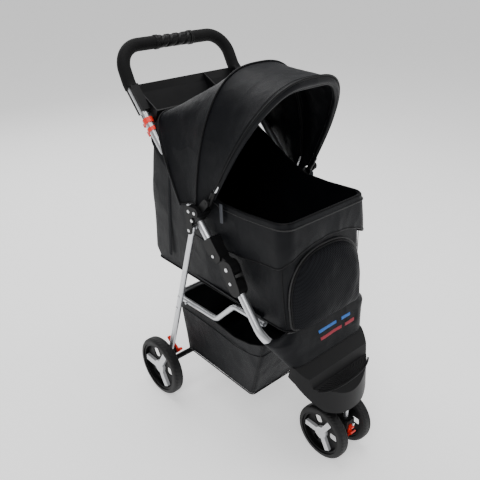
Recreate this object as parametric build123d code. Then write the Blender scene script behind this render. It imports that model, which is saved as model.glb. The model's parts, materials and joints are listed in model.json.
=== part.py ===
from build123d import *
import math
import os

# Three-wheeled folding pet stroller, in millimetres.
# +Z is up, the front faces -Y, and X runs across. The origin is on the floor, at the
# middle of the bounding box. Side parts are built on the +X side and mirrored.

# ---- driving dimensions ----
REAR_AXLE = (191.0, 89.0)          # (y, z) of the rear wheels
REAR_WHEEL_X = 216.4
REAR_WHEEL_R = 89.0
REAR_WHEEL_W = 32.0
FRONT_AXLE = (-297.0, 76.0)
FRONT_WHEEL_X = 46.5
FRONT_WHEEL_R = 76.0
FRONT_WHEEL_W = 31.0
CASTER_Y = -330.0                  # swivel axis, ahead of the front axle
TYRE_DEPTH = 15.0
AXLE_R = 4.0
WEB_FACE = 2.0                     # outer face of the wheel's web and hub, from its mid-plane
RUN = 0.06                         # radial running clearance

TUBE_X = 175.0                     # main tubes, on each side
TUBE_R = 10.5
TUBE_WALL = 1.5
UPPER_START = (-22.0, 547.5)
UPPER_BEND = (309.0, 898.0)
HANDLE = (355.0, 981.0)            # (y, z) of the handle's crossbar
HANDLE_X = 173.0
HANDLE_BEND_R = 62.0
FOAM_R = 17.0
GRIP_R = 19.0
GRIP_HALF = 62.0

LOWER_START = (-97.0, 492.5)
LOWER_BEND = (-188.0, 386.3)
LOWER_END = (60.0, -292.0, 230.0)

FOLD_PIN = (-79.0, 527.0)          # (y, z) of the main fold hinge
LEG_PIN = (46.0, 590.0)            # rear leg on the upper frame
SEAT_PIN = (-170.0, 406.0)         # seat tube on the lower tube
LEG_X = 190.5
LEG_R = 8.0
SEAT_X = 154.5
SEAT_R = 7.5
OPEN_PIN = (124.0, 320.3)          # where the leg passes the seat tube
BRAKE_PIN = (168.0, 136.0)
COLLAR_E = 426.0                   # red catch, measured along the main tube from the hinge
TAB_E = 402.0
ARM_E = 452.0                      # tray arms, from here up
ARM_LENGTH = 74.0

CABIN_HALF = 146.5
CABIN_WALL = 3.0
BASKET_HALF = 146.0

MID_BOW_PIN = (34.0, 642.0)
MID_BOW_ANGLE = 93.0
MID_BOW_BASE = 157.5
MID_BOW_HALF = 181.0
MID_BOW_HEIGHT = 325.0
MID_BOW_R = 3.0
FRONT_BOW_PIN = (-6.0, 676.0)
FRONT_BOW_ANGLE = 117.0
FRONT_BOW_BASE = 175.0
FRONT_BOW_HALF = 166.0
FRONT_BOW_HEIGHT = 318.0
FRONT_BOW_R = 5.0
REAR_HEM_PIN = (84.0, 634.0)
REAR_HEM_ANGLE = 59.5
REAR_HEM_HALF = 195.0
REAR_HEM_HEIGHT = 243.0
REAR_HEM_SQUARE = 0.3              # smaller is squarer
BOW_SQUARE = 0.72
CLOTH = 2.0

SIDES = (("left", 1), ("right", -1))
parts = {}


# ---- helpers ----
def unit(a, b):
    """Unit (y, z) direction from a to b."""
    length = math.dist(a, b)
    return ((b[0] - a[0]) / length, (b[1] - a[1]) / length)


UP = unit(UPPER_START, UPPER_BEND)
UP_FRONT = (-UP[1], UP[0])
DOWN = unit(LOWER_START, LOWER_BEND)
DOWN_FRONT = (DOWN[1], -DOWN[0])


def local(origin, along, across, e, n):
    """(y, z) of a point e along one direction and n along another."""
    return (origin[0] + e * along[0] + n * across[0], origin[1] + e * along[1] + n * across[1])


def slab(points, x0, x1):
    """Plate with an outline of (y, z) points, between two x planes."""
    plane = Plane(origin=(x0, 0, 0), x_dir=(0, 1, 0), z_dir=(1, 0, 0))
    outline = Polyline(*points, close=True)
    return extrude(plane * make_face(outline), amount=x1 - x0)


def disc(centre, radius, x0, x1):
    """Cylinder along X."""
    plane = Plane(origin=(x0, centre[0], centre[1]), x_dir=(0, 1, 0), z_dir=(1, 0, 0))
    return extrude(plane * Circle(radius), amount=x1 - x0)


def link(a, ra, b, rb, x0, x1):
    """Plate that is the hull of two circles in (y, z)."""
    plane = Plane(origin=(x0, 0, 0), x_dir=(0, 1, 0), z_dir=(1, 0, 0))
    ring_a = Pos(a[0], a[1]) * Edge.make_circle(ra)
    ring_b = Pos(b[0], b[1]) * Edge.make_circle(rb)
    return extrude(plane * make_hull([ring_a, ring_b]), amount=x1 - x0)


def rod(p, q, radius):
    """Solid cylinder between two points."""
    p = Vector(*p)
    q = Vector(*q)
    plane = Plane(origin=p, z_dir=(q - p))
    return extrude(plane * Circle(radius), amount=(q - p).length)


def swept(points, radii, outer, inner=0.0):
    """Round bar, or tube, along a filleted path."""
    path = FilletPolyline(*points, radius=radii)
    plane = Plane(origin=path @ 0, z_dir=path % 0)
    profile = Circle(outer)
    if inner:
        profile = Circle(outer) - Circle(inner)
    return sweep(plane * profile, path=path)


def dome(x, centre, radius, height):
    """Rivet head on the outer side of a +X part."""
    head = disc(centre, radius, x, x + height)
    return chamfer(head.edges().sort_by(Axis.X)[-1], height * 0.45)


def on_side(shape, sign):
    """The part as built for +X, or its mirror image."""
    if sign > 0:
        return shape
    return mirror(shape, about=Plane.YZ)


def put(name, shape):
    parts[name] = shape


def put_pair(name, shape):
    """Two like pieces, left and right, in one node."""
    parts[name] = Compound([on_side(shape, 1), on_side(shape, -1)])


def smooth_radii(points):
    """The largest even fillet for each corner of a path."""
    radii = []
    for before, here, after in zip(points, points[1:], points[2:]):
        run_in = Vector(*here) - Vector(*before)
        run_out = Vector(*after) - Vector(*here)
        turn = math.radians(run_in.get_angle(run_out))
        radii.append(0.45 * min(run_in.length, run_out.length) / math.tan(turn / 2))
    return radii


# ---- lower frame ----
def seat_pin():
    """Pin on a lower tube that carries one front end of the seat tube."""
    return disc(SEAT_PIN, 2.5 - RUN, SEAT_X - SEAT_R + 0.4, TUBE_X - 4.0)


def lower_tube():
    points = [
        (TUBE_X, *LOWER_START),
        (TUBE_X, *LOWER_BEND),
        LOWER_END,
    ]
    return points, [70.0]


def lower_frame():
    points, radii = lower_tube()
    hollow = swept(points, radii, TUBE_R, TUBE_R - TUBE_WALL)
    full = swept(points, radii, TUBE_R)
    cover_end = local(FOLD_PIN, DOWN, DOWN_FRONT, 50.0, -8.0)
    x_in = SEAT_X + SEAT_R + 0.3
    x_out = TUBE_X + 15.0
    cover = link(FOLD_PIN, 22.0, cover_end, 20.0, x_out - 3.5, x_out)
    inner_cover = link(FOLD_PIN, 22.0, cover_end, 20.0, x_in, x_in + 1.2)
    core_top = local(FOLD_PIN, DOWN, DOWN_FRONT, 44.0, -8.5)
    core = link(core_top, 17.0, cover_end, 19.0, x_in, x_out)
    core = core - disc(FOLD_PIN, 27.0, x_in + 1.2, x_out - 3.5)
    housing = core + cover + inner_cover - full
    pin_hole = disc(FOLD_PIN, 4.0, x_in - 1.0, x_out + 1.0)
    housing = housing - pin_hole
    low_rivet = local(FOLD_PIN, DOWN, DOWN_FRONT, 34.0, -10.0)
    shank = disc(low_rivet, 2.5, x_in, x_out)
    pin = disc(FOLD_PIN, 4.0, x_in - 1.5, x_out) + dome(x_out, FOLD_PIN, 5.5, 2.2)
    pin = pin + disc(FOLD_PIN, 5.5, x_in - 2.0, x_in)
    rivet = shank + dome(x_out, low_rivet, 4.5, 2.0)
    housing = housing - shank
    full_cut = hollow - shank
    for side, sign in SIDES:
        put(f"lower_tube_{side}", on_side(full_cut, sign))
        put(f"fold_housing_{side}", on_side(housing, sign))
    put_pair("fold_pins", pin)
    pins = (rivet, seat_pin() - full)
    put("lower_rivets", Compound([on_side(piece, sign) for piece in pins for _, sign in SIDES]))
    return full


def nose_outline(half, rear, tip, z):
    """Shield-shaped plan outline: flat at the rear, rounded at the front."""
    points = [
        (half, rear),
        (half * 0.93, rear - (rear - tip) * 0.30),
        (half * 0.62, rear - (rear - tip) * 0.76),
        (0.0, tip),
        (-half * 0.62, rear - (rear - tip) * 0.76),
        (-half * 0.93, rear - (rear - tip) * 0.30),
        (-half, rear),
    ]
    curve = Spline(*points)
    back = Line(points[-1], points[0])
    return Plane(origin=(0, 0, z)) * make_face([curve, back])


def nose_core():
    """The room inside the footboard moulding."""
    return loft([nose_outline(136.5, -228, -348.5, 150), nose_outline(127.5, -254, -332.5, 314)])


def nose(tubes):
    """Footboard moulding: a hollow shield with a sloped band and a tread recess."""
    outer = loft([nose_outline(140, -224, -352, 168), nose_outline(131, -250, -336, 318)])
    inner = nose_core()
    top_out = [(-210, 318), (-259, 304), (-292, 280), (-300, 252), (-331, 241), (-352, 214),
               (-380, 190), (-380, 400), (-210, 400)]
    top_in = [(-210, 314), (-257, 300.5), (-289, 277.5), (-297, 249), (-329.5, 237.5), (-347, 214),
              (-380, 186), (-380, 400), (-210, 400)]
    outer = outer - slab(top_out, -200, 200)
    inner = inner - slab(top_in, -200, 200)
    rear_opening = Pos(0, -224, 235) * Box(236, 30, 110)
    skirt = [(-400, 130), (-400, 164), (-349, 166), (-325, 182), (-300, 212), (-262, 258),
             (-224, 284), (-200, 286), (-200, 130)]
    shell = outer - inner - rear_opening - slab(skirt, -200, 200)
    for sign in (1, -1):
        shell = shell - on_side(tubes, sign)
    put("nose_shell", shell)


def caster_socket(tubes):
    socket = Pos(0, CASTER_Y, 187.0) * Cylinder(13, 64)
    beam = slab([(-338, 200), (-338, 218), (-284, 252), (-284, 226), (-310, 206)], -78, 78)
    body = (socket + beam) & nose_core()
    for sign in (1, -1):
        body = body - on_side(tubes, sign)
    body = body - Pos(0, CASTER_Y, 187.5) * Cylinder(6.5 + RUN, 80)
    put("caster_socket", body)


# ---- front swivel caster ----
def caster():
    stem = Pos(0, CASTER_Y, 155.0) * Cylinder(6.5, 130)
    put("caster_stem", stem)
    side = [(-347, 118), (-347, 92), (-318, 60), (-292, 58), (-280, 70), (-280, 88), (-308, 118)]
    fork = slab(side, -15, 15)
    fork = fork + Pos(0, CASTER_Y, 115) * Cylinder(13, 12)
    hub = disc(FRONT_AXLE, 13.0, -29.5, 29.5)
    fork = fork + hub
    fork = fork - Pos(0, CASTER_Y, 112) * Cylinder(6.5, 44)
    fork = fork - disc(FRONT_AXLE, AXLE_R, -40, 40)
    fork = fork - Pos(0, -346, 88) * Box(12, 12, 32)
    put("caster_fork", fork)
    end = FRONT_WHEEL_X + WEB_FACE - 0.5
    put("front_axle", disc(FRONT_AXLE, AXLE_R, -end, end))
    lever = Pos(0, -347.5, 88) * Box(11, 5, 26)
    lever = lever + Pos(0, -354, 78.5) * Rot(35, 0, 0) * Box(18, 4, 17)
    lever = lever + Pos(0, -350.5, 98) * Box(10, 11, 5)
    put("swivel_lever", lever)


# ---- wheels ----
def rim_profile(radius, width):
    """Half section of the rim: bead ring, dished web and hub."""
    ring = Pos(0, radius - 3.0) * Rectangle(width * 0.82, 6.0)
    web = Pos(0, radius * 0.5) * Rectangle(2 * WEB_FACE, radius - 6.0)
    hub_length = width / 2 + WEB_FACE
    hub = Pos(WEB_FACE - hub_length / 2, 8.0 + AXLE_R / 2) * Rectangle(hub_length, 12.0)
    return ring + web + hub


def wheel(radius, width):
    """Tyre, rim and the outer star, built about the X axis at the origin; +X is outside."""
    inner = radius - TYRE_DEPTH
    section = Pos(0, radius - TYRE_DEPTH / 2) * RectangleRounded(width, TYRE_DEPTH, 6.5)
    tyre = revolve(section, axis=Axis.X)
    rim = revolve(rim_profile(inner, width), axis=Axis.X)
    rim = rim - disc((0, 0), AXLE_R + RUN, -width, width)
    slots = Sketch()
    star = Sketch() + Circle(inner * 0.27)
    for index in range(3):
        slot = RectangleRounded(inner * 0.38, inner * 0.34, inner * 0.1)
        arm = Rectangle(inner * 0.86, inner * 0.24)
        slots += Rot(0, 0, 60 + 120 * index) * Pos(inner * 0.56, 0) * slot
        star += Rot(0, 0, 120 * index) * Pos(inner * 0.43, 0) * arm
    back = Plane(origin=(-10, 0, 0), x_dir=(0, 1, 0), z_dir=(1, 0, 0))
    rim = rim - extrude(back * slots, amount=20)
    front = Plane(origin=(WEB_FACE, 0, 0), x_dir=(0, 1, 0), z_dir=(1, 0, 0))
    cover = extrude(front * star, amount=width * 0.3)
    return tyre, rim, cover


def wheels():
    sets = (
        ("rear", REAR_AXLE, REAR_WHEEL_X, REAR_WHEEL_R, REAR_WHEEL_W),
        ("front", FRONT_AXLE, FRONT_WHEEL_X, FRONT_WHEEL_R, FRONT_WHEEL_W),
    )
    for name, axle, x, radius, width in sets:
        tyre, rim, cover = wheel(radius, width)
        for side, sign in SIDES:
            place = Pos(sign * x, axle[0], axle[1])
            put(f"{name}_tyre_{side}", place * on_side(tyre, sign))
            put(f"{name}_rim_{side}", place * on_side(rim, sign))
            put(f"{name}_star_{side}", place * on_side(cover, sign))


# ---- rear legs and brakes ----
def on_leg(distance):
    """(y, z) on the leg's axis, measured up from the rear axle."""
    y, z = unit(REAR_AXLE, LEG_PIN)
    return (REAR_AXLE[0] + distance * y, REAR_AXLE[1] + distance * z)


def rear_legs():
    length = math.dist(REAR_AXLE, LEG_PIN)
    bottom = (LEG_X, *on_leg(34.0))
    top = (LEG_X, *on_leg(length + 11.0))
    full = rod(bottom, top, LEG_R)
    tube = full - rod(bottom, top, LEG_R - 1.2)
    tube = tube - disc(LEG_PIN, 3.0 + RUN, LEG_X - 12, LEG_X + 12)
    x_in = LEG_X - 10.0
    x_out = REAR_WHEEL_X - REAR_WHEEL_W / 2 - 0.8
    foot = link(REAR_AXLE, 17.0, on_leg(58.0), 11.0, x_in, x_out)
    foot = foot + link(BRAKE_PIN, 7.0, (184.0, 120.0), 8.0, x_in, x_in + 5.0)
    foot = foot - full - disc(REAR_AXLE, 8.0, x_in - 1, x_in + 6)
    foot = foot - disc(REAR_AXLE, AXLE_R, x_in - 1, x_out + 1)
    foot = foot + disc(BRAKE_PIN, 3.0, x_in - 12.0, x_in)
    studs = []
    for distance in (math.dist(REAR_AXLE, OPEN_PIN), 284.0):
        stud = disc(on_leg(distance), 2.5, LEG_X - 12.0, LEG_X + LEG_R)
        stud = stud + dome(LEG_X + LEG_R, on_leg(distance), 4.0, 1.8)
        tube = tube - stud
        studs.append(stud)
    for side, sign in SIDES:
        put(f"rear_leg_{side}", on_side(tube, sign))
        put(f"leg_foot_{side}", on_side(foot, sign))
    put("leg_studs", Compound([on_side(stud, sign) for stud in studs for _, sign in SIDES]))
    end = REAR_WHEEL_X + WEB_FACE - 0.5
    put("rear_axle", disc(REAR_AXLE, AXLE_R, -end, end))
    sleeve = disc(REAR_AXLE, 8.0, -x_in - 6, x_in + 6)
    put("axle_tube", sleeve - disc(REAR_AXLE, AXLE_R, -300, 300))


def brakes():
    """Red foot pedals: a rocker arm on each foot, beside the wheel."""
    x1 = LEG_X - 10.6
    arm = link(BRAKE_PIN, 7.0, (205.0, 163.0), 4.0, x1 - 9.5, x1)
    arm = arm + link(BRAKE_PIN, 7.0, (150.0, 151.0), 4.0, x1 - 9.5, x1)
    arm = arm - disc(BRAKE_PIN, 3.0 + RUN, 100, 250)
    for side, sign in SIDES:
        put(f"brake_pedal_{side}", on_side(arm, sign))


# ---- seat frame, board and basket ----
def seat_frame():
    half = [
        (SEAT_X, -179.0, 406.0),
        (SEAT_X, -68.0, 402.0),
        (SEAT_X, 4.0, 325.0),
        (SEAT_X, 184.0, 318.0),
    ]
    other = [(-x, y, z) for x, y, z in reversed(half)]
    radii = [28.0, 28.0, 40.0, 40.0, 28.0, 28.0]
    tube = swept(half + other, radii, SEAT_R, SEAT_R - 1.2)
    hole = disc(SEAT_PIN, 2.5, -200, 200)
    stub = disc(OPEN_PIN, 3.0, SEAT_X + SEAT_R - 0.8, SEAT_X + SEAT_R + 6.0)
    put("seat_tube", tube - hole + on_side(stub, 1) + on_side(stub, -1))


def cabin_board():
    put("cabin_board", slab([(-150, 400.5), (262, 409.5), (262, 414.5), (-150, 405.5)], -140, 140))


def basket():
    outline = [(-168, 334), (186, 272), (159, 134), (-121, 136)]
    room = [(-167.4, 350), (190.2, 290), (160.4 - 3.1, 136), (-119.6, 138)]
    half = BASKET_HALF
    put("storage_basket", slab(outline, -half, half) - slab(room, -half + CLOTH, half - CLOTH))


# ---- upper frame ----
def on_tube(e, n):
    """(y, z) beside the main tube, e along it from the hinge pin and n to the front."""
    return local(FOLD_PIN, UP, UP_FRONT, e, n)


# the main tube's axis lies this far behind the hinge pin
AXIS_N = (UPPER_START[0] - FOLD_PIN[0]) * UP_FRONT[0] + (UPPER_START[1] - FOLD_PIN[1]) * UP_FRONT[1]


def handle():
    start = (TUBE_X, *UPPER_START)
    bend = (TUBE_X, *UPPER_BEND)
    corner = (HANDLE_X, *HANDLE)
    other = [(-x, y, z) for x, y, z in (corner, bend, start)]
    points = [start, bend, corner] + other
    radii = [60.0, HANDLE_BEND_R, HANDLE_BEND_R, 60.0]
    full = swept(points, radii, TUBE_R)
    tube = swept(points, radii, TUBE_R, TUBE_R - TUBE_WALL)
    foam_start = (HANDLE_X + 1.8, 313.8, 906.7)
    foam_path = [foam_start, corner, (GRIP_HALF, *HANDLE)]
    foam = swept(foam_path, [HANDLE_BEND_R], FOAM_R, TUBE_R)
    grip = disc(HANDLE, 16.5, -GRIP_HALF + 0.2, GRIP_HALF - 0.2)
    for x in (-GRIP_HALF + 2, GRIP_HALF - 10):
        grip = grip + disc(HANDLE, GRIP_R, x, x + 8)
    put("centre_grip", grip - disc(HANDLE, TUBE_R, -80, 80))
    for side, sign in SIDES:
        put(f"foam_grip_{side}", on_side(foam, sign))
    return full, tube


def knuckle(full):
    """Upper half of the fold joint, clamped on the main tube's lower end."""
    x_in = TUBE_X - 15.0
    x_out = TUBE_X + 15.0
    outline = [(26, -8), (34, 0), (86, 0), (90, -8), (90, -39), (60, -39), (26, -24)]
    body = slab([on_tube(e, n) for e, n in outline], x_in, x_out)
    body = body - disc(FOLD_PIN, 23.0, 100, 250)
    tongue = link(FOLD_PIN, 20.0, on_tube(32, -12), 11.0, x_in + 4.5, x_out - 4.5)
    body = body + tongue - full - disc(FOLD_PIN, 4.0 + RUN, 100, 250)
    place = on_tube(46, -24)
    shank = disc(place, 2.5, x_in - 1, x_out)
    rivet = shank + dome(x_out, place, 4.5, 2.0)
    for side, sign in SIDES:
        put(f"fold_knuckle_{side}", on_side(body - shank, sign))
    return rivet


def leg_bracket(full):
    """Bracket on each main tube: it carries the rear leg and both canopy bows."""
    x_in = TUBE_X - 11.5
    x_plate = LEG_X + LEG_R + 0.7
    outline = [(59, 641), (57, 612), (38, 606), (14, 634), (6, 648), (20, 657), (46, 657)]
    body = slab(outline, x_in, x_plate)
    plate = link(LEG_PIN, 11.0, (45.0, 642.0), 14.0, x_plate, x_plate + 3.0)
    plate = plate + link((45.0, 642.0), 14.0, (22.0, 645.0), 12.0, x_plate, x_plate + 3.0)
    arm = link((20.0, 648.0), 9.0, FRONT_BOW_PIN, 10.0, TUBE_X + 12.0, TUBE_X + 16.0)
    body = body + plate + arm - full - disc(LEG_PIN, 13.5, LEG_X - 12, x_plate)
    body = body - disc(FRONT_BOW_PIN, 3.0 + RUN, 100, 250)
    body = body - disc(MID_BOW_PIN, 3.0 + RUN, x_in - 1, x_in + 8.0)
    leg_shank = disc(LEG_PIN, 3.0, LEG_X - LEG_R - 2.0, x_plate + 3.0)
    leg_head = dome(x_plate + 3.0, LEG_PIN, 4.5, 2.0)
    leg_washer = disc(LEG_PIN, 5.0, LEG_X - LEG_R - 3.5, LEG_X - LEG_R - 1.5)
    pins = [leg_shank + leg_head + leg_washer]
    for place in ((45.0, 642.0), (23.0, 644.0), (33.0, 621.0)):
        shank = disc(place, 2.5, x_plate - 4.0, x_plate + 3.0)
        pins.append(shank + dome(x_plate + 3.0, place, 4.5, 2.0))
    for pin in pins:
        body = body - pin
    for side, sign in SIDES:
        put(f"leg_bracket_{side}", on_side(body, sign))
    return pins


def tray(full):
    """Parent tray between the main tubes, with a cup holder at one end."""
    outline = [(212, 846), (307, 893), (301, 872), (266, 824), (226, 806)]
    room = [(214.5, 852), (308, 899), (298, 873), (263.5, 827.5), (229, 811.5)]
    half = TUBE_X - TUBE_R - 3.5
    body = slab(outline, -half, half)
    main_room = slab(room, -half + 3, 62)
    cup_room = slab(room, 66, half - 3)
    body = body - main_room - cup_room
    arm = [on_tube(ARM_E + e, AXIS_N + n) for e, n in ((0, 0), (0, 16), (ARM_LENGTH, 16), (ARM_LENGTH, 0))]
    arm = slab(arm, half, TUBE_X + 9.0) - full
    ends = ((0, 0), (0, 14), (ARM_LENGTH, 14), (ARM_LENGTH, 0))
    strip = [on_tube(ARM_E + e, AXIS_N - n) for e, n in ends]
    strip = slab(strip, half, TUBE_X + 9.0) - full - body
    body = body + on_side(arm, 1) + on_side(arm, -1)
    put("parent_tray", body)
    put_pair("tray_clamps", strip)


def catches(full):
    """Red catches on the main tubes, and the lock rods that they pull inside the tubes."""
    near = (TUBE_X, *on_tube(COLLAR_E - 7, AXIS_N))
    far = (TUBE_X, *on_tube(COLLAR_E + 7, AXIS_N))
    collar = rod(near, far, 13.4)
    corners = ((-5, -24), (5, -24), (5, 0), (-5, 0))
    wing = slab([on_tube(COLLAR_E + e, AXIS_N + n) for e, n in corners], TUBE_X - 4, TUBE_X + 4)
    collar = collar + wing - rod(near, far, TUBE_R + RUN)
    tip = (TUBE_X, *on_tube(56, AXIS_N))
    plunger_end = (TUBE_X, *on_tube(88, AXIS_N))
    rod_end = (TUBE_X, *on_tube(COLLAR_E + 4, AXIS_N))
    lock = rod(tip, plunger_end, TUBE_R - TUBE_WALL - RUN) + rod(plunger_end, rod_end, 1.6)
    pin = disc(on_tube(COLLAR_E, AXIS_N), 1.6, TUBE_X - 12.4, TUBE_X + 12.4)
    lock = lock + pin
    collar = collar - pin
    low = (TUBE_X, *on_tube(TAB_E - 5, AXIS_N))
    high = (TUBE_X, *on_tube(TAB_E + 5, AXIS_N))
    tab = rod(low, high, 13.0) + slab([on_tube(TAB_E + e, AXIS_N + n) for e, n in
                                       ((-7, -25), (7, -25), (3, 0), (-3, 0))], TUBE_X - 3, TUBE_X + 3)
    tab = tab - full
    for side, sign in SIDES:
        put(f"catch_{side}", Compound([on_side(collar, sign), on_side(lock, sign)]))
    put_pair("catch_tabs", tab)


def catch_slots():
    """Slots in the main tube where the catch's cross pin travels, and the lock's bore."""
    corners = ((-2.4, -2.0), (20.2, -2.0), (20.2, 2.0), (-2.4, 2.0))
    slot = [on_tube(COLLAR_E + e, AXIS_N + n) for e, n in corners]
    return slab(slot, TUBE_X - 14, TUBE_X + 14)


# ---- canopy ----
def arch_plane(pin, angle):
    lean = math.radians(angle)
    normal = (0, math.sin(lean), -math.cos(lean))
    return Plane(origin=(0, *pin), x_dir=(1, 0, 0), z_dir=(0, -normal[1], -normal[2]))


def arch_points(half, height, angles, square=BOW_SQUARE):
    """Points of a squarish arch, from +X over the top to -X."""
    points = []
    for angle in angles:
        c = math.cos(math.radians(angle))
        s = math.sin(math.radians(angle))
        points.append((math.copysign(half * abs(c) ** square, c), height * s ** 0.86))
    return points


def cloth_arch(pin, angle, half, height, square=BOW_SQUARE):
    """Thin band of cloth over an arch."""
    steps = [6, 20, 40, 60, 78, 102, 120, 140, 160, 174]
    outer = Spline(*arch_points(half + CLOTH, height + CLOTH, steps, square))
    inner = Spline(*arch_points(half, height, steps, square))
    feet = [Line(outer @ 0, inner @ 0), Line(outer @ 1, inner @ 1)]
    return arch_plane(pin, angle) * make_face([outer, inner] + feet)


def bow(pin, angle, base, half, height, radius):
    """Bent wire or tube from one hub over to the other."""
    arch = arch_points(half, height, [28, 50, 72, 108, 130, 152])
    flat = [(base, 14.0), (half, 60.0)] + arch + [(-half, 60.0), (-base, 14.0)]
    plane = arch_plane(pin, angle)
    points = [tuple(plane.from_local_coords(Vector(x, v, 0))) for x, v in flat]
    return swept(points, smooth_radii(points), radius)


def canopy():
    mid = bow(MID_BOW_PIN, MID_BOW_ANGLE, MID_BOW_BASE, MID_BOW_HALF, MID_BOW_HEIGHT, MID_BOW_R)
    front = bow(FRONT_BOW_PIN, FRONT_BOW_ANGLE, FRONT_BOW_BASE, FRONT_BOW_HALF,
                FRONT_BOW_HEIGHT, FRONT_BOW_R)
    x_arm = TUBE_X + 12.0
    hub = disc(FRONT_BOW_PIN, 9.0, x_arm - 4.0, x_arm - 0.1)
    hub = hub + disc(FRONT_BOW_PIN, 3.0, x_arm - 1.0, x_arm + 4.5)
    socket_plane = arch_plane(FRONT_BOW_PIN, FRONT_BOW_ANGLE)
    a = socket_plane.from_local_coords(Vector(FRONT_BOW_BASE + 0.5, -8.0, 0))
    b = socket_plane.from_local_coords(Vector(FRONT_BOW_BASE - 1.5, 32.0, 0))
    socket = rod(tuple(a), tuple(b), 7.2) - front
    socket = socket - disc(FRONT_BOW_PIN, 20.0, x_arm - 4.2, 250)
    put_pair("front_bow_hubs", hub)
    put_pair("front_bow_sockets", socket)
    put("front_bow", front)
    x_in = TUBE_X - 11.5
    hub = disc(MID_BOW_PIN, 8.0, x_in - 2.2, x_in - 0.2) + disc(MID_BOW_PIN, 3.0, x_in - 1.0, x_in + 7.0)
    mid_plane = arch_plane(MID_BOW_PIN, MID_BOW_ANGLE)
    eye = disc(MID_BOW_PIN, 7.0, MID_BOW_BASE - 3.0, x_in - 2.5)
    neck = rod(tuple(mid_plane.from_local_coords(Vector(MID_BOW_BASE, 3.0, 0))),
               tuple(mid_plane.from_local_coords(Vector(MID_BOW_BASE, 22.0, 0))), 3.5)
    put_pair("mid_bow_hubs", hub)
    for _, sign in SIDES:
        mid = mid + on_side(eye + neck, sign)
    put("mid_bow", mid)
    rear_cloth = loft([
        cloth_arch(REAR_HEM_PIN, REAR_HEM_ANGLE, REAR_HEM_HALF, REAR_HEM_HEIGHT, REAR_HEM_SQUARE),
        cloth_arch(MID_BOW_PIN, MID_BOW_ANGLE - 1.2, MID_BOW_HALF + 5, MID_BOW_HEIGHT + 4),
    ])
    front_cloth = loft([
        cloth_arch(MID_BOW_PIN, MID_BOW_ANGLE + 0.4, MID_BOW_HALF + 5, MID_BOW_HEIGHT + 4),
        cloth_arch(FRONT_BOW_PIN, FRONT_BOW_ANGLE, FRONT_BOW_HALF + 9, FRONT_BOW_HEIGHT + 9),
    ])
    put("canopy_rear", rear_cloth)
    put("canopy_front", front_cloth)


# ---- cabin ----
def cabin():
    """Soft cabin: floor, walls and a raised back, open at the top."""
    outline = [(-234, 392), (-212, 677), (-100, 667), (-24, 666), (40, 690), (190, 762), (250, 776),
               (275, 611), (294, 430), (274, 403)]
    room = [(-230.8, 395.1), (-206.5, 720), (243, 900), (247, 776), (272, 611),
            (290.8, 430.6), (272.6, 406.1)]
    half = CABIN_HALF
    body = slab(outline, -half, half) - slab(room, -half + CABIN_WALL, half - CABIN_WALL)
    window = Pos(0, -225, 490) * scale(Sphere(1), by=(112, 30, 95))
    put("cabin_shell", body - window)


def window_flap():
    """Front window: a bulging mesh panel on the front wall, seamed along its lower edge."""
    centre = Pos(0, -229, 478)
    outer = centre * scale(Sphere(1), by=(122, 44, 121))
    inner = centre * scale(Sphere(1), by=(119.5, 41.5, 118.5))
    dome_shell = outer - inner
    keep = slab([(-234.6, 396), (-219.5, 610), (-300, 610), (-300, 416)], -130, 130)
    put("window_flap", dome_shell & keep)


def apron():
    put("front_apron", slab([(-235, 389), (-262, 307), (-260, 306.4), (-233, 388.4)], -100, 100))


# ---- write every part to its own STEP file ----
tubes = lower_frame()
nose(tubes)
caster_socket(tubes)
caster()
wheels()
rear_legs()
brakes()
seat_frame()
cabin_board()
basket()
full, tube = handle()
tube = tube - on_side(catch_slots(), 1) - on_side(catch_slots(), -1)
put("handle_tube", tube)
rivets = [knuckle(full)] + leg_bracket(full)
put("upper_rivets", Compound([on_side(rivet, sign) for rivet in rivets for _, sign in SIDES]))
tray(full)
catches(full)
canopy()
cabin()
window_flap()
apron()
for name, shape in parts.items():
    export_step(shape, f"parts/{name}.step")
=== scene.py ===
import json
import math

import bpy
from bpy.props import FloatProperty, FloatVectorProperty, IntProperty, PointerProperty
from bpy.types import Operator, Panel, PropertyGroup
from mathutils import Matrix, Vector, noise


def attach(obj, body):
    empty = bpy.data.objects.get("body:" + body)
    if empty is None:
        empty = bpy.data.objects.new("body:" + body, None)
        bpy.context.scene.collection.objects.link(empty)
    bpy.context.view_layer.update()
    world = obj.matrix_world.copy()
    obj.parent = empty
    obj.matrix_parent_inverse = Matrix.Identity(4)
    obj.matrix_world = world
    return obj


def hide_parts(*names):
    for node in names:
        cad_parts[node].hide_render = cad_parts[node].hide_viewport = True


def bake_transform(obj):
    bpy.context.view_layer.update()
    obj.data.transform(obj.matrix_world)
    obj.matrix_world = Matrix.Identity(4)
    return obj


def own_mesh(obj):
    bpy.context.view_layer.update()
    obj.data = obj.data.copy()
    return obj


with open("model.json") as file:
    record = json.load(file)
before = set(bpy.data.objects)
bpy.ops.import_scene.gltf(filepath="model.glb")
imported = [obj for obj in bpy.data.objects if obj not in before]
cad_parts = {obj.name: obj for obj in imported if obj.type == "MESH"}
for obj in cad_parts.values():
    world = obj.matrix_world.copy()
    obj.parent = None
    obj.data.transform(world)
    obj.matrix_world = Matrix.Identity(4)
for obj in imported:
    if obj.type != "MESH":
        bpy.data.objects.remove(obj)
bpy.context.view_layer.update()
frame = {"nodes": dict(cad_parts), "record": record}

bl_info = {
    "name": "Pet stroller builder",
    "version": (1, 0, 0),
    "blender": (4, 5, 0),
    "location": "View3D > Sidebar > Stroller",
    "description": "Sews the cloth, shapes the fittings and sets the finishes of a folding pet stroller",
    "category": "Object",
}

MM = 0.001
SLOTS = {s["node"]: s["material_slot"] for s in frame["record"]["subparts"]}

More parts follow.
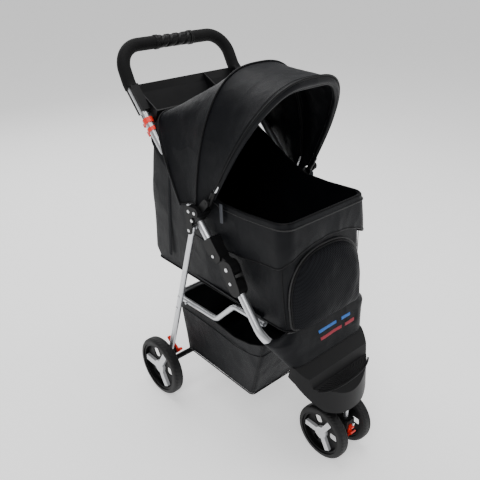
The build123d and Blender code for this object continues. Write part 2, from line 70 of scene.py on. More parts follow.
# Canopy arches, in millimetres: pin (y, z), lean from +Y in degrees, half width, height, squareness
REAR_ARCH = ((84.0, 634.0), 59.5, 193.0, 243.0, 0.16)
MID_ARCH = ((34.0, 642.0), 92.6, 186.0, 329.0, 0.72)
FRONT_ARCH = ((-6.0, 676.0), 117.0, 173.5, 325.5, 0.72)
BOW_SQUARE, CROWN = 0.72, 0.86             # how square an arch is, and how full its crown
ARCH_START, ARCH_SWEEP = 1.2, 177.6
HEM_SHARE = 0.87                           # where the front cloth turns in round the bow

# Cabin profiles, in millimetres
FRONT_LINE = ((392.0, -234.0), (677.0, -212.0))
BACK_LINE = ((403.0, 276.0), (430.0, 293.0), (611.0, 278.0), (776.0, 258.0))
RIM_LINE = ((-212.0, 677.0), (-100.0, 667.0), (-24.0, 666.0), (40.0, 690.0), (190.0, 765.0), (250.0, 790.0))
WINDOW = (121.0, 470.0, 586.0, 398.0)      # half width, z of the widest place, upper edge z, lower edge z

# Wire bows, in millimetres: pin (y, z), lean from +Y in degrees, half width at the pins, half width, height
MID_BOW = ((34.0, 642.0), 93.0, 157.5, 181.0, 325.0)
FRONT_BOW = ((-6.0, 676.0), 117.0, 175.0, 166.0, 318.0)


# ---------------------------------------------------------------- settings
class StrollerSizes(PropertyGroup):
    cloth: FloatProperty(name="Cloth", description="Thickness of the cabin and canopy cloth",
                         default=0.0012, min=0.0004, max=0.004, unit="LENGTH")
    piping: FloatProperty(name="Piping", description="Radius of the piping on the seams",
                          default=0.0024, min=0.0008, max=0.005, unit="LENGTH")
    crease: FloatProperty(name="Creases", description="Depth of the creases in the cloth",
                          default=0.0045, min=0.0, max=0.012, unit="LENGTH")
    tread_depth: FloatProperty(name="Tread depth", description="Depth of the grooves in the tyres",
                               default=0.0012, min=0.0, max=0.003, unit="LENGTH")
    tread_blocks: IntProperty(name="Tread blocks", description="Blocks round one tyre",
                              default=44, min=12, max=90)
    weave: FloatProperty(name="Weave", description="Width of one thread of the cloth",
                         default=0.0011, min=0.0003, max=0.004, unit="LENGTH")


class StrollerColours(PropertyGroup):
    cloth: FloatVectorProperty(name="Cloth", description="Colour of the polyester cloth", subtype="COLOR",
                               size=3, default=(0.0030, 0.0033, 0.0044), min=0, max=1)
    trim: FloatVectorProperty(name="Trim", description="Colour of the piping and tapes", subtype="COLOR",
                              size=3, default=(0.0034, 0.0034, 0.0038), min=0, max=1)
    plastic: FloatVectorProperty(name="Black plastic", description="Colour of the joints and the fork",
                                 subtype="COLOR", size=3, default=(0.0034, 0.0034, 0.0037), min=0, max=1)
    moulding: FloatVectorProperty(name="Mouldings", description="Colour of the tray and the footboard",
                                  subtype="COLOR", size=3, default=(0.0048, 0.0048, 0.0053), min=0, max=1)
    foam: FloatVectorProperty(name="Foam", description="Colour of the handle's foam", subtype="COLOR",
                              size=3, default=(0.0040, 0.0040, 0.0043), min=0, max=1)
    tube: FloatVectorProperty(name="Tubes", description="Colour of the aluminium tubes", subtype="COLOR",
                              size=3, default=(0.62, 0.63, 0.65), min=0, max=1)
    red: FloatVectorProperty(name="Red plastic", description="Colour of the catches, brakes and lever",
                             subtype="COLOR", size=3, default=(0.78, 0.022, 0.012), min=0, max=1)
    tyre: FloatVectorProperty(name="Tyres", description="Colour of the tyres", subtype="COLOR",
                              size=3, default=(0.0052, 0.0052, 0.0056), min=0, max=1)
    star: FloatVectorProperty(name="Wheel stars", description="Colour of the wheels' silver arms",
                              subtype="COLOR", size=3, default=(0.66, 0.67, 0.69), min=0, max=1)
    blue_thread: FloatVectorProperty(name="Blue thread", description="Colour of the blue bars",
                                     subtype="COLOR", size=3, default=(0.012, 0.16, 0.58), min=0, max=1)
    red_thread: FloatVectorProperty(name="Red thread", description="Colour of the red bars", subtype="COLOR",
                                    size=3, default=(0.36, 0.008, 0.03), min=0, max=1)
    floor: FloatVectorProperty(name="Floor", description="Colour of the studio floor", subtype="COLOR",
                               size=3, default=(0.86, 0.86, 0.86), min=0, max=1)


def sizes():
    return bpy.context.scene.stroller_sizes


def colours():
    return bpy.context.scene.stroller_colours


# ---------------------------------------------------------------- shader expressions
class Value:
    """A socket's value in a shader, for arithmetic written as an expression."""

    def __init__(self, finish, socket):
        self.finish = finish
        self.socket = socket

    def maths(self, operation, first, second):
        return self.finish.add("Math", {"operation": operation}, {0: first, 1: second}).out(0)

    def __add__(self, other):
        return self.maths("ADD", self, other)

    def __radd__(self, other):
        return self.maths("ADD", other, self)

    def __sub__(self, other):
        return self.maths("SUBTRACT", self, other)

    def __rsub__(self, other):
        return self.maths("SUBTRACT", other, self)

    def __mul__(self, other):
        return self.maths("MULTIPLY", self, other)

    def __rmul__(self, other):
        return self.maths("MULTIPLY", other, self)

    def sine(self):
        return self.maths("SINE", self, 0.0)

    def size(self):
        return self.maths("ABSOLUTE", self, 0.0)


class Made:
    """A node that has been added, with its outputs as values."""

    def __init__(self, finish, node):
        self.finish = finish
        self.node = node

    def out(self, key):
        return Value(self.finish, self.node.outputs[key])


class Finish:
    """One material, built from a Principled shader and what varies over the surface."""

    def __init__(self, name, **constants):
        self.material = bpy.data.materials.new(name)
        self.material.use_nodes = True
        self.tree = self.material.node_tree
        self.shader = next(n for n in self.tree.nodes if n.type == "BSDF_PRINCIPLED")
        for key, value in constants.items():
            self.shader.inputs[key.replace("_", " ")].default_value = value

    def add(self, kind, settings=None, inputs=None):
        node = self.tree.nodes.new("ShaderNode" + kind)
        for key, value in (settings or {}).items():
            setattr(node, key, value)
        for key, value in (inputs or {}).items():
            if isinstance(value, Value):
                self.tree.links.new(value.socket, node.inputs[key])
            else:
                node.inputs[key].default_value = value
        return Made(self, node)

    def place(self, spread=(1, 1, 1), turn=(0, 0, 0), source="Object"):
        """Position on the piece, spread and turned by a Mapping node."""
        where = self.add("TexCoord").out(source)
        return self.add("Mapping", {}, {"Vector": where, "Scale": spread, "Rotation": turn}).out(0)

    def noise(self, scale, detail=2.0, spread=(1, 1, 1), source="Object"):
        where = self.place(spread, source=source)
        return self.add("TexNoise", {}, {"Vector": where, "Scale": scale, "Detail": detail}).out(0)

    def ridges(self, scale, spread=(1, 1, 1), source="Object"):
        """Narrow crooked ridges, from the middle line of a noise."""
        low = self.noise(scale, 2.5, spread, source)
        return 1.0 - (low - 0.5).size() * 6.0

    def cells(self, scale, spread=(1, 1, 1), source="Object"):
        where = self.place(spread, source=source)
        return self.add("TexVoronoi", {}, {"Vector": where, "Scale": scale}).out("Distance")

    def axes(self, source="Object"):
        split = self.add("SeparateXYZ", {}, {0: self.place(source=source)})
        return split.out(0), split.out(1), split.out(2)

    def tint(self, dark, light, factor):
        """Colour between two colours."""
        mix = self.add("Mix", {"data_type": "RGBA"}, {"Factor": factor})
        mix.node.inputs[6].default_value = (*dark, 1)
        mix.node.inputs[7].default_value = (*light, 1)
        return mix.out(2)

    def colour(self, colour, darker, lighter, factor):
        """Base colour that varies between two shares of a colour."""
        self.give("Base Color", self.tint(shade(colour, darker), shade(colour, lighter), factor))

    def give(self, key, value):
        self.tree.links.new(value.socket, self.shader.inputs[key])

    def raised(self, height, distance, strength=1.0):
        """Small relief from a height, through a Bump node."""
        bump = self.add("Bump", {}, {"Height": height, "Distance": distance, "Strength": strength})
        self.give("Normal", bump.out(0))


def shade(colour, share):
    """A colour made lighter or darker by a share."""
    return tuple(min(1.0, c * share) for c in colour)


def woven(name, colour, thread, sheen, source, creases=0.0):
    """Plain-woven polyester: threads over and under, slight rub marks, and slack creases where wanted."""
    finish = Finish(name, Sheen_Weight=sheen, Sheen_Roughness=0.42, Sheen_Tint=(0.62, 0.70, 0.86, 1),
                    Specular_IOR_Level=0.15)
    x, y, z = finish.axes(source)
    turn = math.pi / thread
    if source == "UV":
        across, along = x, y
    else:
        across, along = x + y * 0.35, z + y * 0.65
    weave = (across * turn).sine() * (along * turn).sine() * 0.5 + 0.5
    cloudy = finish.noise(7.0, 3.0)
    rub = finish.noise(38.0, 4.0)
    slack = finish.ridges(9.0, (1.0, 1.0, 0.8))
    finish.colour(colour, 0.72, 1.55, cloudy * 0.7 + weave * 0.3)
    finish.give("Roughness", 0.38 + cloudy * 0.12 + rub * 0.08 - weave * 0.04)
    finish.raised(weave * 0.05 + rub * 0.07 + slack * creases, 0.0045, 0.7)
    return finish.material


def ribbed_mesh(name, colour):
    """Open knitted mesh, seen as fine slanting ribs with holes between the threads; the holes are painted
    dark, partly for the black cloth behind them and partly as painted shade.
    """
    finish = Finish(name, Sheen_Weight=0.01, Sheen_Roughness=0.4, Specular_IOR_Level=0.12)
    x, y, z = finish.axes()
    rib = ((x * 0.80 + z * 0.60 - y * 0.4) * (math.pi / 0.0021)).sine() * 0.5 + 0.5
    cross = ((z * 0.80 - x * 0.60) * (math.pi / 0.0032)).sine() * 0.5 + 0.5
    hole = rib * cross
    # Painted shade: the holes are darkened to a quarter of the colour, for the black cloth and the shade seen
    # through them.
    finish.colour(colour, 1.9, 0.25, hole)
    finish.give("Roughness", 0.58 + hole * 0.3)
    finish.raised(1.0 - rib * 0.8 - cross * 0.2, 0.0009, 0.9)
    return finish.material


def moulded(name, colour, rough, grain, coat=0.0, shine=0.17):
    """Moulded plastic with a fine spark-eroded grain and faint handling marks."""
    finish = Finish(name, Coat_Weight=coat, Coat_Roughness=0.25, Specular_IOR_Level=shine)
    speck = finish.noise(grain, 2.0)
    marks = finish.noise(21.0, 5.0, (1.0, 2.6, 1.0))
    finish.colour(colour, 0.75, 1.45, marks * 0.8 + speck * 0.2)
    finish.give("Roughness", rough - 0.07 + marks * 0.16 + speck * 0.05)
    finish.raised(speck + marks * 0.25, 0.00025, 0.35)
    return finish.material


def metal(name, colour, rough, spread):
    """Anodised or plated metal with drawing lines along the bar and slight smudges."""
    finish = Finish(name)
    lines = finish.noise(240.0, 3.0, spread)
    smudge = finish.noise(16.0, 3.0)
    finish.colour(colour, 0.82, 1.12, smudge * 0.6 + lines * 0.4)
    finish.give("Metallic", 0.94 + smudge * 0.06)
    finish.give("Roughness", rough - 0.06 + lines * 0.10 + smudge * 0.08)
    finish.raised(lines, 0.0001, 0.25)
    return finish.material


def foam_finish(name, colour):
    """Closed-cell foam with a pebbled skin."""
    finish = Finish(name, Sheen_Weight=0.01, Sheen_Roughness=0.6, Specular_IOR_Level=0.14)
    pores = finish.cells(520.0)
    cloudy = finish.noise(24.0, 3.0)
    finish.colour(colour, 0.7, 1.6, cloudy * 0.6 + pores * 0.4)
    finish.give("Roughness", 0.66 + cloudy * 0.14 + pores * 0.06)
    finish.raised(pores + cloudy * 0.5, 0.0004, 0.5)
    return finish.material


def rubber(name, colour):
    """Tyre compound, with patches of dust."""
    finish = Finish(name, Specular_IOR_Level=0.3)
    dust = finish.noise(30.0, 5.0)
    fine = finish.noise(420.0, 2.0)
    finish.colour(colour, 0.7, 2.0, dust * 0.8 + fine * 0.2)
    finish.give("Roughness", 0.46 + dust * 0.22)
    finish.raised(fine + dust * 0.4, 0.0003, 0.4)
    return finish.material


def satin_thread(name, colour):
    """Satin stitch: close parallel threads with a soft shine."""
    finish = Finish(name, Sheen_Weight=0.3, Sheen_Roughness=0.3)
    x, _, z = finish.axes()
    thread = ((x * 0.35 + z * 0.94) * (math.pi / 0.0005)).sine() * 0.5 + 0.5
    patchy = finish.noise(120.0, 2.0)
    finish.colour(colour, 0.62, 1.25, thread * 0.6 + patchy * 0.4)
    finish.give("Roughness", 0.42 + thread * 0.2)
    finish.raised(thread, 0.0003, 0.8)
    return finish.material


def zip_tape(name, colour):
    """Coil zip: small even teeth along the tape."""
    finish = Finish(name, Specular_IOR_Level=0.5)
    x = finish.axes("UV")[0]
    teeth = (x * (math.pi / 0.0016)).sine() * 0.5 + 0.5
    wear = finish.noise(60.0, 3.0)
    finish.colour(colour, 0.5, 2.6, teeth * 0.7 + wear * 0.3)
    finish.give("Roughness", 0.36 + wear * 0.2)
    finish.raised(teeth, 0.0009, 0.8)
    return finish.material


def floor_finish(name, colour):
    """Matt studio paper."""
    finish = Finish(name, Specular_IOR_Level=0.2, Emission_Color=(1.0, 1.0, 1.0, 1.0), Emission_Strength=0.6)
    fibre = finish.noise(3.0, 4.0)
    finish.colour(colour, 0.985, 1.0, fibre)
    finish.give("Roughness", 0.72 + fibre * 0.1)
    return finish.material


FINISHES = {}


def finish_of(name):
    """The material of that name, made when it is first asked for."""
    if name not in FINISHES:
        c, thread = colours(), sizes().weave
        makers = {
            "cloth": lambda: woven("black polyester", c.cloth, thread, 0.01, "UV", 0.45),
            # The sleeves' cloth is the black cloth darkened to 0.6 as painted shade under the canopy.
            "painted_shade_cloth": lambda: woven("black cloth, painted shade", shade(c.cloth, 0.6), thread, 0.01, "Object"),
            "trim": lambda: woven("piping tape", c.trim, thread * 0.6, 0.02, "Object"),
            "mesh": lambda: ribbed_mesh("ribbed mesh", c.cloth),
            "black_plastic": lambda: moulded("black nylon", c.plastic, 0.40, 700.0),
            "grey_plastic": lambda: moulded("dark moulding", c.moulding, 0.42, 520.0),
            "board": lambda: woven("covered board", c.cloth, thread, 0.02, "Object"),
            "foam": lambda: foam_finish("handle foam", c.foam),
            "tube": lambda: metal("anodised aluminium", c.tube, 0.33, (0.12, 0.12, 1.0)),
            "steel": lambda: metal("plated steel", (0.68, 0.69, 0.70), 0.24, (1.0, 0.2, 0.2)),
            "red_plastic": lambda: moulded("red nylon", c.red, 0.34, 600.0, 0.1, 0.5),
            "tyre": lambda: rubber("tyre rubber", c.tyre),
            "silver_plastic": lambda: star_paint("silver paint", c.star),
            "blue_thread": lambda: satin_thread("blue thread", c.blue_thread),
            "red_thread": lambda: satin_thread("red thread", c.red_thread),
            "zip": lambda: zip_tape("zip tape", c.trim),
            "webbing": lambda: woven("grey webbing", (0.05, 0.053, 0.06), thread * 1.4, 0.08, "Object"),
            "floor": lambda: floor_finish("studio paper", c.floor),
        }
        FINISHES[name] = makers[name]()
    return FINISHES[name]


def star_paint(name, colour):
    """Silver paint on plastic, with a fine metal fleck."""
    finish = Finish(name, Coat_Weight=0.15, Coat_Roughness=0.2)
    fleck = finish.cells(900.0)
    cloudy = finish.noise(26.0, 3.0)
    finish.colour(colour, 0.85, 1.08, cloudy * 0.6 + fleck * 0.4)
    finish.give("Metallic", 0.30 + fleck * 0.15)
    finish.give("Roughness", 0.30 + cloudy * 0.12)
    finish.raised(fleck, 0.0001, 0.2)
    return finish.material


# ---------------------------------------------------------------- modelling helpers
def clear_selection():
    if bpy.context.mode != "OBJECT":
        bpy.ops.object.mode_set(mode="OBJECT")
    bpy.ops.object.select_all(action="DESELECT")


def pick(piece):
    """Makes one piece the only selected and active one."""
    clear_selection()
    piece.select_set(True)
    bpy.context.view_layer.objects.active = piece


def edit(piece, *steps):
    """Runs edit-mode steps on everything in a piece."""
    pick(piece)
    bpy.ops.object.mode_set(mode="EDIT")
    bpy.ops.mesh.select_all(action="SELECT")
    for step in steps:
        step()
    bpy.ops.object.mode_set(mode="OBJECT")


def outward():
    bpy.ops.mesh.normals_make_consistent(inside=False)


def weld():
    bpy.ops.mesh.remove_doubles(threshold=0.00002)


def modify(piece, kind, **settings):
    """Adds a modifier and applies it."""
    pick(piece)
    modifier = piece.modifiers.new(kind.title(), kind)
    for key, value in settings.items():
        setattr(modifier, key, value)
    bpy.ops.object.modifier_apply(modifier=modifier.name)


def cut_cloth(name, columns, rows, lay, size=(1.0, 1.0)):
    """A flat grid of cloth whose points are laid by lay(u, v) in millimetres; its UV map is in metres."""
    clear_selection()
    bpy.ops.mesh.primitive_grid_add(x_subdivisions=columns, y_subdivisions=rows, size=1.0)
    piece = bpy.context.object
    piece.name = name
    piece.data.name = name
    share = piece.data.attributes.new("share", "FLOAT", "POINT")
    for i, point in enumerate(piece.data.vertices):
        u, v = point.co.x + 0.5, point.co.y + 0.5
        share.data[i].value = v
        point.co = Vector(lay(u, v)) * MM
    for loop in piece.data.uv_layers[0].data:
        loop.uv = (loop.uv[0] * size[0], loop.uv[1] * size[1])
    return piece


def forget_share(piece):
    """Removes the share across the sheet, once nothing needs it."""
    piece.data.attributes.remove(piece.data.attributes["share"])


def thicken(piece, thickness, offset=-1.0):
    modify(piece, "SOLIDIFY", thickness=thickness, offset=offset)
    edit(piece, outward)


def round_off(piece, levels=1):
    modify(piece, "SUBSURF", levels=levels, render_levels=levels)


def dress(piece, finish, body=None, smooth=40):
    """Gives a piece its finish, its smooth shading and its body."""
    pick(piece)
    bpy.ops.object.shade_smooth_by_angle(angle=math.radians(smooth))
    piece.data.materials.clear()
    piece.data.materials.append(finish_of(finish))
    if body:
        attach(piece, body)
    return piece


def along_line(name, points, radius, closed=False, sides=3, flat=None):
    """A round bead, or a flat tape, along points in millimetres."""
    curve = bpy.data.curves.new(name, "CURVE")
    curve.dimensions = "3D"
    curve.use_fill_caps = True
    line = curve.splines.new("POLY")
    line.points.add(len(points) - 1)
    for point, place in zip(line.points, points):
        point.co = (*(Vector(place) * MM), 1.0)
    line.use_cyclic_u = closed
    curve.bevel_depth = radius
    curve.bevel_resolution = sides
    piece = bpy.data.objects.new(name, curve)
    bpy.context.scene.collection.objects.link(piece)
    pick(piece)
    bpy.ops.object.convert(target="MESH")
    piece = bpy.context.object
    if not piece.data.uv_layers:
        piece.data.uv_layers.new(name="UVMap")
    length = sum((Vector(b) - Vector(a)).length for a, b in zip(points, points[1:])) * MM
    for loop in piece.data.uv_layers[0].data:
        loop.uv = (loop.uv[0] * length, loop.uv[1] * 0.01)
    edit(piece, weld, outward)
    if flat:
        flatten_bead(piece, flat)
    return piece


def flatten_bead(piece, flat):
    """Squeezes a bead's section along X, as a tape sewn flat."""
    middle = sum(v.co.x for v in piece.data.vertices) / len(piece.data.vertices)
    for point in piece.data.vertices:
        point.co.x = middle + (point.co.x - middle) * flat


def bead(name, points, radius, finish, body, slot="cloth", **shape):
    """A dressed bead of piping, seam or rib along points in millimetres."""
    return dress(along_line(name, points, radius, **shape), finish, body)


def blend_cloth(piece, first, second, start, end, full=1.0):
    """Reads the share across the sheet, bakes the piece's transform and removes the share."""
    shares = [0.0] * len(piece.data.vertices)
    piece.data.attributes["share"].data.foreach_get("value", shares)
    shares = [min(1.0, share / full) for share in shares]
    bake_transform(piece)
    forget_share(piece)


def ease(points, at):
    """Smooth interpolation through (at, value) pairs."""
    if at <= points[0][0]:
        return points[0][1]
    for (a, va), (b, vb) in zip(points, points[1:]):
        if at <= b:
            share = (at - a) / (b - a)
            return va + (vb - va) * share
    return points[-1][1]


def creased(point, spread, seed):
    """Fixed fractal value from -1 to 1 for a place, for creases."""
    place = Vector((point[0] * spread[0], point[1] * spread[1], point[2] * spread[2] + seed))
    return noise.fractal(place, 1.0, 2.2, 3)


def sharp_crease(point, spread, seed):
    """Fixed value with narrow ridges, as cloth that has been folded."""
    place = Vector((point[0] * spread[0], point[1] * spread[1], point[2] * spread[2] + seed))
    return 1.0 - 2.0 * abs(noise.noise(place))


# ---------------------------------------------------------------- canopy
def arch_point(arch, u):
    """Point on an arch, from the +X pin at u 0 to the -X pin at u 1."""
    (pin_y, pin_z), lean, half, height, square = arch
    turn = math.radians(ARCH_START + ARCH_SWEEP * u)
    x = half * math.copysign(abs(math.cos(turn)) ** square, math.cos(turn))
    up = height * math.sin(turn) ** CROWN
    lean = math.radians(lean)
    back = 40.0 * math.exp(-((abs(2.0 * u - 1.0) - 0.52) / 0.2) ** 2) if arch is REAR_ARCH else 0.0
    return Vector((x, pin_y + up * math.cos(lean) + back, pin_z + up * math.sin(lean) - 0.3 * back))


def bow_flat(bow):
    """Points (x, height) along a wire bow in its own plane, from its +X foot, with its bends rounded."""
    base, half, height = bow[2:]
    crown = []
    for angle in (28, 50, 72, 108, 130, 152):
        c, s = math.cos(math.radians(angle)), math.sin(math.radians(angle))
        crown.append((math.copysign(half * abs(c) ** BOW_SQUARE, c), height * s ** CROWN))
    corners = [Vector(p) for p in [(base, 14.0), (half, 60.0)] + crown + [(-half, 60.0), (-base, 14.0)]]
    points = [corners[0]]
    for before, here, after in zip(corners, corners[1:], corners[2:]):
        run = 0.45 * min((here - before).length, (after - here).length)
        first = here + (before - here).normalized() * run
        last = here + (after - here).normalized() * run
        for k in range(7):
            t = k / 6
            points.append(first * (1 - t) ** 2 + here * (2 * t * (1 - t)) + last * t ** 2)
    return points + [corners[-1]]


def stand(bow, flat, ahead=0.0):
    """A point of a bow's plane in the frame, moved ahead of that plane if wanted."""
    (pin_y, pin_z), lean = bow[0], math.radians(bow[1])
    y = pin_y + flat[1] * math.cos(lean) - ahead * math.sin(lean)
    z = pin_z + flat[1] * math.sin(lean) + ahead * math.cos(lean)
    return Vector((flat[0], y, z))


def over_bow(bow, flat_points, arch, u, grow, ahead=0.0):
    """The place on a bow that lies under an arch's point at u, grown outward."""
    half, height, square = arch[2:]
    turn = math.radians(ARCH_START + ARCH_SWEEP * u)
    across = half * math.copysign(abs(math.cos(turn)) ** square, math.cos(turn))
    want = math.atan2(height * math.sin(turn) ** CROWN, across)
    turns = [math.atan2(p.y, p.x) for p in flat_points]
    if want <= turns[0] or want >= turns[-1]:
        place = flat_points[0 if want <= turns[0] else -1]
    else:
        i = next(k for k in range(1, len(turns)) if turns[k] >= want)
        share = (want - turns[i - 1]) / (turns[i] - turns[i - 1])
        place = flat_points[i - 1].lerp(flat_points[i], share)
    return stand(bow, place + place.normalized() * grow, ahead)


def canopy_lay(first, second, hollow, seed, hem=None):
    """Cloth stretched between two arches, a little hollow between them, with soft folds.

    With a hem bow, the last strip of the cloth turns in round the front of that bow."""
    centre = Vector((0.0, 40.0, 700.0))
    depth = sizes().crease / MM
    flat_points = bow_flat(hem) if hem else None

    def lay(u, v):
        if hem and v > HEM_SHARE:
            turn = (v - HEM_SHARE) / (1.0 - HEM_SHARE)
            bottom = over_bow(hem, flat_points, second, u, -6.5, -1.0)
            ahead = stand(hem, (0.0, 0.0), 9.0) - stand(hem, (0.0, 0.0))
            return arch_point(second, u).lerp(bottom, turn) + ahead * math.sin(math.pi * turn)
        v = v / HEM_SHARE if hem else v
        point = arch_point(first, u).lerp(arch_point(second, u), v)
        out = point - centre
        out.y *= 0.35
        out.normalize()
        middle = math.sin(math.pi * v)
        low = abs(2.0 * u - 1.0)
        folds = sharp_crease((u * 2.6, v * 2.2 + u * 3.0, 0.0), (1.0, 0.7, 1.0), seed) - 0.45
        soft = creased(point, (0.009, 0.010, 0.007), seed)
        dart = math.exp(-((u * 9.0 - 1.3 - v * 1.2) ** 2) * 6.0)
        dart += math.exp(-((u * 9.0 - 7.5 + v * 1.1) ** 2) * 6.0)
        relief = 0.55 * folds * (0.3 + low) + 0.8 * soft + 0.5 * dart
        return point - out * (middle * (hollow + depth * relief))

    return lay


def canopy_sheet(name, lay, bodies, node, flat, full=1.0):
    piece = cut_cloth(name, 150, 52, lay, flat)
    thicken(piece, sizes().cloth)
    dress(piece, "cloth")
    blend_cloth(piece, *bodies, start=(0, 0.2, 0.8), end=(0, -0.1, 0.95), full=full)
    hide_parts(node)
    return piece


def arch_line(arch, grow=0.0, count=90, first=0.0, last=1.0):
    (pin, lean, half, height, square) = arch
    grown = (pin, lean, half + grow, height + grow, square)
    return [arch_point(grown, first + (last - first) * i / (count - 1)) for i in range(count)]


def curtain_lay(u, v):
    """Short curtain that hangs from the canopy's rear hem behind the cabin's back."""
    top = arch_point(REAR_ARCH, 0.27 + 0.46 * u) - Vector((0.0, 0.0, 1.5))
    across = 152.0 * (1.0 - 2.0 * u)
    middle = Vector(((top.x + across) / 2, top.y + 6.0, 797.0))
    low = Vector((across, 265.0, 766.0))
    point = top * (1.0 - v) ** 2 + middle * (2.0 * v * (1.0 - v)) + low * v ** 2
    point.y += sizes().crease / MM * 0.6 * v * creased(point, (0.012, 0.01, 0.004), 2.9)
    return point


class STROLLER_OT_canopy(Operator):
    """Sews the canopy: two sheets over the bows, the piping on their seam and the hems"""
    bl_idname = "stroller.canopy"
    bl_label = "Canopy"

    def execute(self, context):
        rear = canopy_lay(REAR_ARCH, MID_ARCH, 5.0, 3.1)
        front = canopy_lay(MID_ARCH, FRONT_ARCH, 4.0, 8.7, FRONT_BOW)
        canopy_sheet("canopy_rear_cloth", rear, ("upper_frame", "mid_bow_frame"), "canopy_rear",
                     (0.66, 0.26))
        canopy_sheet("canopy_front_cloth", front, ("mid_bow_frame", "front_bow_frame"), "canopy_front",
                     (0.70, 0.22), full=0.78)
        curtain = cut_cloth("canopy_curtain", 90, 26, curtain_lay, (0.36, 0.1))
        forget_share(curtain)
        thicken(curtain, sizes().cloth)
        dress(curtain, "cloth", "upper_frame")
        piping = sizes().piping
        bead("canopy_seam_piping", arch_line(MID_ARCH, 1.6), piping, "trim", "mid_bow_frame")
        bead("canopy_rear_hem", arch_line(REAR_ARCH, 0.6), piping * 1.1, "trim", "upper_frame")
        bead("canopy_front_piping", arch_line(FRONT_ARCH, 1.0), piping, "trim", "front_bow_frame")
        for tag, bow, body, radius in (("mid", MID_BOW, "mid_bow_frame", 0.0052),
                                       ("front", FRONT_BOW, "front_bow_frame", 0.0070)):
            path = [stand(bow, p) for p in bow_flat(bow)]
            # The sleeves round the bows take the black cloth darkened as painted shade under the canopy.
            bead(f"canopy_{tag}_sleeve", path[3:-3], radius, "painted_shade_cloth", body, sides=5)
        for i, share in enumerate((0.845, 0.80)):
            line = [front(k / 139, share) for k in range(2, 138)]
            line = [p + (p - Vector((0.0, 40.0, 700.0))).normalized() * 0.4 for p in line]
            bead(f"canopy_front_stitch_{i + 1}", line, 0.0006, "trim", "front_bow_frame", sides=2)
        lower = [rear(0.004, v / 30) for v in range(31)], [rear(0.996, v / 30) for v in range(31)]
        for side, line in zip(("left", "right"), lower):
            bead(f"canopy_lower_hem_{side}", line, piping, "trim", "upper_frame")
        return {"FINISHED"}


# ---------------------------------------------------------------- cabin
def columns_round():
    """Stations round the cabin from the middle of the back: which side, and how far along it."""
    plan = (("back_r", 9), ("corner_br", 5), ("side_r", 40), ("corner_fr", 5), ("front", 44),
            ("corner_fl", 5), ("side_l", 40), ("corner_bl", 5), ("back_l", 9))
    return [(name, i / count) for name, count in plan for i in range(count)]


STATIONS = columns_round()


def plan_point(station, half_front, half_back, front, back, radius, rear_radius):
    """Point of a rounded plan outline at a station. The right side is -X."""
    name, f = station
    quarter = math.pi / 2 * f
    near, far = front + radius, back - rear_radius
    if name == "back_r":
        return (-f * (half_back - rear_radius), back)
    if name == "corner_br":
        return (-(half_back - rear_radius) - rear_radius * math.sin(quarter),
                far + rear_radius * math.cos(quarter))
    if name == "side_r":
        return (-half_back + (half_back - half_front) * f, far + (near - far) * f)
    if name == "corner_fr":
        return (-(half_front - radius) - radius * math.cos(quarter),
                front + radius - radius * math.sin(quarter))
    if name == "front":
        return ((half_front - radius) * (2 * f - 1), front)
    if name == "corner_fl":
        return ((half_front - radius) + radius * math.sin(quarter),
                front + radius - radius * math.cos(quarter))
    if name == "side_l":
        return (half_front + (half_back - half_front) * f, near + (far - near) * f)
    if name == "corner_bl":
        return ((half_back - rear_radius) + rear_radius * math.cos(quarter),
                far + rear_radius * math.sin(quarter))
    return ((1.0 - f) * (half_back - rear_radius), back)


def wall_point(station, level, out=0.0):
    """Point on the cabin's wall: level 0 at the floor, 1 at the rim."""
    rim_half = 146.0 + 10.0 * math.sin(math.pi * min(1.0, level)) * 0.35
    half_front = 128.0 + (139.0 - 128.0) * level + 7.0 * math.sin(math.pi * level)
    half_back = 138.0 + (rim_half - 138.0) * level + 5.0 * math.sin(math.pi * level)
    x, y = plan_point(station, half_front + out, half_back + 5.0 + out, -212.0 - out, 250.0 + out, 30.0, 15.0)
    low = 392.0 + (y + 234.0) * 0.0217
    z = low + (ease(RIM_LINE, y) - low) * level
    share = (y + 212.0) / 462.0
    front, back = ease(FRONT_LINE, z) - out, ease(BACK_LINE, z) + out
    y = front + (back - front) * share
    return Vector((x, y, z))


def window_half(z):
    """Half width of the window at a height: an arch above, nearly upright sides, tight lower corners."""
    wide, middle, top, low = WINDOW
    if z >= top or z <= low:
        return 0.0
    if z > middle:
        return wide * (1.0 - ((z - middle) / (top - middle)) ** 2.5) ** 0.4
    corner = max(0.0, low + 20.0 - z)
    return wide - 0.09 * (middle - z) - (20.0 - math.sqrt(400.0 - corner * corner))


def in_window(x, z, shrink):
    """Whether a place on the front wall is inside the window's outline."""
    return WINDOW[3] + shrink < z < WINDOW[2] - shrink and abs(x) < window_half(z) - shrink


def wall_crease(point, seed):
    """Creases of the hanging walls, mostly slanting and upright."""
    soft = creased(point, (0.012, 0.012, 0.005), seed)
    slanted = (point[0] + point[1] * 0.9, point[2] + point[1] * 0.35, 0.0)
    fine = sharp_crease(slanted, (0.016, 0.007, 1.0), seed) - 0.5
    return 0.8 * soft + 0.55 * fine


def cabin_lay(u, v):
    """Floor and walls in one: the floor closes to its middle line, and the walls stand from its edge."""
    station = STATIONS[round(u * len(STATIONS)) % len(STATIONS)]
    floor_share = 0.16
    if v < floor_share:
        edge = wall_point(station, 0.0)
        inner = Vector((0.0, edge.y * 0.6 + 6.0, edge.z + 1.0))
        return inner.lerp(edge, (v / floor_share) ** 0.8)
    level = (v - floor_share) / (1.0 - floor_share)
    point = wall_point(station, level)
    centre = Vector((0.0, 20.0, point.z))
    out = (point - centre)
    out.normalize()
    free = math.sin(math.pi * min(1.0, level * 0.92 + 0.03))
    depth = sizes().crease / MM
    return point + out * (free * depth * wall_crease(point, 5.3))


def rim_points(first, last, out, drop=0.0):
    """Points along the cabin's rim between two stations."""
    points = []
    for i in range(first, last):
        point = wall_point(STATIONS[i % len(STATIONS)], 1.0, out)
        points.append(point - Vector((0, 0, drop)))
    return points


